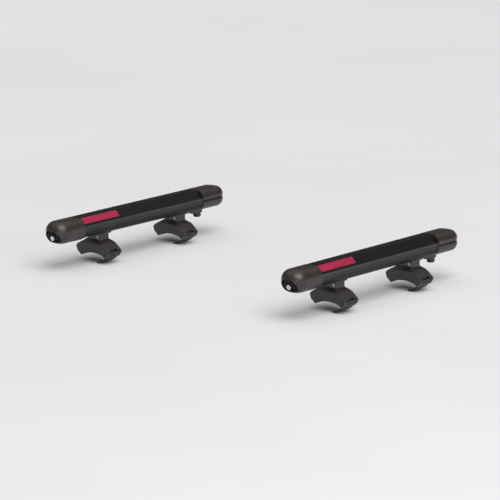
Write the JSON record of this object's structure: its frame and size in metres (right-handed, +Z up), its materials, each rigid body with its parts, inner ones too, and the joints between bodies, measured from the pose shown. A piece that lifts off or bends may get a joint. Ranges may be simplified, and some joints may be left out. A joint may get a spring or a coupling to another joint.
{
  "type": "roof ski carrier pair",
  "caption": "Pair of clamshell roof ski carriers: hinged padded jaws with push-button latch and lock, floating hinge and claw feet for crossbars.",
  "frame": {"origin": "bottom centre of the pair, on the plane that the four claws stand on", "axes": "+X from the latch ends to the hinge ends, +Y from the front carrier to the rear one, +Z up"},
  "size_m": [0.6217, 0.8797, 0.128],
  "materials": {
    "beam_metal": "satin anodised, dark grey",
    "pad_rubber": "soft ribbed rubber",
    "cap_plastic": "fine-textured warm brown-grey",
    "inlay_gloss": "gloss black",
    "label_magenta": "plain magenta film, no lettering",
    "striker_steel": "black zinc-plated steel",
    "button_plastic": "matte dark brown-grey",
    "lock_metal": "bright plated",
    "pin_steel": "turned steel",
    "spring_steel": "spring wire",
    "carriage_plastic": "glass-filled nylon",
    "foot_plastic": "glass-filled nylon, warm dark grey",
    "screw_steel": "dark zinc-plated",
    "bolt_bright": "bright zinc",
    "claw_metal": "black powder coat",
    "wheel_plastic": "black moulded rim"
  },
  "bodies": {
    "root": {"front_lower_beam": "beam_metal", "front_lower_pad": "pad_rubber", "front_nose_housing": "cap_plastic", "front_lower_hinge_cap": "cap_plastic", "front_latch_pin": "pin_steel", "front_button_spring": "spring_steel", "front_hinge_spring": "spring_steel", "front_spring_housing": "foot_plastic", "front_saddle_pads": "pad_rubber", "front_foot_screws": "screw_steel", "front_neck_bolts": "bolt_bright", "front_cap_screws": "screw_steel", "front_near_foot": "foot_plastic", "front_far_foot": "foot_plastic", "rear_lower_beam": "beam_metal", "rear_lower_pad": "pad_rubber", "rear_nose_housing": "cap_plastic", "rear_lower_hinge_cap": "cap_plastic", "rear_latch_pin": "pin_steel", "rear_button_spring": "spring_steel", "rear_hinge_spring": "spring_steel", "rear_spring_housing": "foot_plastic", "rear_saddle_pads": "pad_rubber", "rear_foot_screws": "screw_steel", "rear_neck_bolts": "bolt_bright", "rear_cap_screws": "screw_steel", "rear_near_foot": "foot_plastic", "rear_far_foot": "foot_plastic"},
    "front_jaw": {"front_upper_beam": "beam_metal", "front_upper_inlay": "inlay_gloss", "front_label": "label_magenta", "front_upper_pad": "pad_rubber", "front_striker_plate": "striker_steel", "front_upper_hinge_cap": "cap_plastic"},
    "front_hinge_carriage": {"front_hinge_carriage": "carriage_plastic", "front_rod_nut": "pin_steel", "front_hinge_pin": "pin_steel"},
    "front_push_button": {"front_push_button": "button_plastic"},
    "front_lock_cylinder": {"front_lock_cylinder": "lock_metal"},
    "front_latch_hook": {"front_latch_hook": "striker_steel"},
    "front_near_claw": {"front_near_claw": "claw_metal"},
    "front_far_claw": {"front_far_claw": "claw_metal"},
    "front_near_clamp_wheel": {"front_near_clamp_wheel": "wheel_plastic"},
    "front_far_clamp_wheel": {"front_far_clamp_wheel": "wheel_plastic"},
    "rear_jaw": {"rear_upper_beam": "beam_metal", "rear_upper_inlay": "inlay_gloss", "rear_label": "label_magenta", "rear_upper_pad": "pad_rubber", "rear_striker_plate": "striker_steel", "rear_upper_hinge_cap": "cap_plastic"},
    "rear_hinge_carriage": {"rear_hinge_carriage": "carriage_plastic", "rear_rod_nut": "pin_steel", "rear_hinge_pin": "pin_steel"},
    "rear_push_button": {"rear_push_button": "button_plastic"},
    "rear_lock_cylinder": {"rear_lock_cylinder": "lock_metal"},
    "rear_latch_hook": {"rear_latch_hook": "striker_steel"},
    "rear_near_claw": {"rear_near_claw": "claw_metal"},
    "rear_far_claw": {"rear_far_claw": "claw_metal"},
    "rear_near_clamp_wheel": {"rear_near_clamp_wheel": "wheel_plastic"},
    "rear_far_clamp_wheel": {"rear_far_clamp_wheel": "wheel_plastic"}
  },
  "joints": [
    {"name": "front_hinge_lift", "type": "slide", "parent": "root", "child": "front_hinge_carriage", "axis": [0, 0, 1], "range_m": [0, 0.01], "stiffness_N_per_m": 1500, "springref_m": -0.006, "deforming": ["front_hinge_spring"]},
    {"name": "front_jaw_hinge", "type": "hinge", "parent": "front_hinge_carriage", "child": "front_jaw", "pos_m": [0.2986, -0.385, 0.1126], "axis": [0, 1, 0], "range_deg": [0, 60]},
    {"name": "front_button_push", "type": "slide", "parent": "root", "child": "front_push_button", "axis": [1, 0, 0], "range_m": [0, 0.004], "stiffness_N_per_m": 900, "springref_m": -0.003, "deforming": ["front_button_spring"]},
    {"name": "front_lock_turn", "type": "hinge", "parent": "front_push_button", "child": "front_lock_cylinder", "pos_m": [-0.29, -0.385, 0.0875], "axis": [1, 0, 0], "range_deg": [0, 90]},
    {"name": "front_latch_turn", "type": "hinge", "parent": "root", "child": "front_latch_hook", "pos_m": [-0.231, -0.385, 0.086], "axis": [0, -1, 0], "range_deg": [0, 26]},
    {"name": "front_near_wheel_turn", "type": "hinge", "parent": "root", "child": "front_near_clamp_wheel", "pos_m": [-0.136, -0.4225, 0.0345], "axis": [0, 0, 1], "range_deg": [0, 2400]},
    {"name": "front_near_claw_drop", "type": "slide", "parent": "root", "child": "front_near_claw", "axis": [0, 0, -1], "range_m": [0, 0.01]},
    {"name": "front_far_wheel_turn", "type": "hinge", "parent": "root", "child": "front_far_clamp_wheel", "pos_m": [0.149, -0.4225, 0.0345], "axis": [0, 0, 1], "range_deg": [0, 2400]},
    {"name": "front_far_claw_drop", "type": "slide", "parent": "root", "child": "front_far_claw", "axis": [0, 0, -1], "range_m": [0, 0.01]},
    {"name": "rear_hinge_lift", "type": "slide", "parent": "root", "child": "rear_hinge_carriage", "axis": [0, 0, 1], "range_m": [0, 0.01], "stiffness_N_per_m": 1500, "springref_m": -0.006, "deforming": ["rear_hinge_spring"]},
    {"name": "rear_jaw_hinge", "type": "hinge", "parent": "rear_hinge_carriage", "child": "rear_jaw", "pos_m": [0.2986, 0.385, 0.1126], "axis": [0, 1, 0], "range_deg": [0, 60]},
    {"name": "rear_button_push", "type": "slide", "parent": "root", "child": "rear_push_button", "axis": [1, 0, 0], "range_m": [0, 0.004], "stiffness_N_per_m": 900, "springref_m": -0.003, "deforming": ["rear_button_spring"]},
    {"name": "rear_lock_turn", "type": "hinge", "parent": "rear_push_button", "child": "rear_lock_cylinder", "pos_m": [-0.29, 0.385, 0.0875], "axis": [1, 0, 0], "range_deg": [0, 90]},
    {"name": "rear_latch_turn", "type": "hinge", "parent": "root", "child": "rear_latch_hook", "pos_m": [-0.231, 0.385, 0.086], "axis": [0, -1, 0], "range_deg": [0, 26]},
    {"name": "rear_near_wheel_turn", "type": "hinge", "parent": "root", "child": "rear_near_clamp_wheel", "pos_m": [-0.136, 0.3475, 0.0345], "axis": [0, 0, 1], "range_deg": [0, 2400]},
    {"name": "rear_near_claw_drop", "type": "slide", "parent": "root", "child": "rear_near_claw", "axis": [0, 0, -1], "range_m": [0, 0.01]},
    {"name": "rear_far_wheel_turn", "type": "hinge", "parent": "root", "child": "rear_far_clamp_wheel", "pos_m": [0.149, 0.3475, 0.0345], "axis": [0, 0, 1], "range_deg": [0, 2400]},
    {"name": "rear_far_claw_drop", "type": "slide", "parent": "root", "child": "rear_far_claw", "axis": [0, 0, -1], "range_m": [0, 0.01]}
  ],
  "couplings": [
    {"joint": "front_latch_turn", "follows": "front_button_push", "rad_per_m": 113.44},
    {"joint": "front_near_wheel_turn", "follows": "front_near_claw_drop", "rad_per_m": 4188.8},
    {"joint": "front_far_wheel_turn", "follows": "front_far_claw_drop", "rad_per_m": 4188.8},
    {"joint": "rear_latch_turn", "follows": "rear_button_push", "rad_per_m": 113.44},
    {"joint": "rear_near_wheel_turn", "follows": "rear_near_claw_drop", "rad_per_m": 4188.8},
    {"joint": "rear_far_wheel_turn", "follows": "rear_far_claw_drop", "rad_per_m": 4188.8}
  ]
}
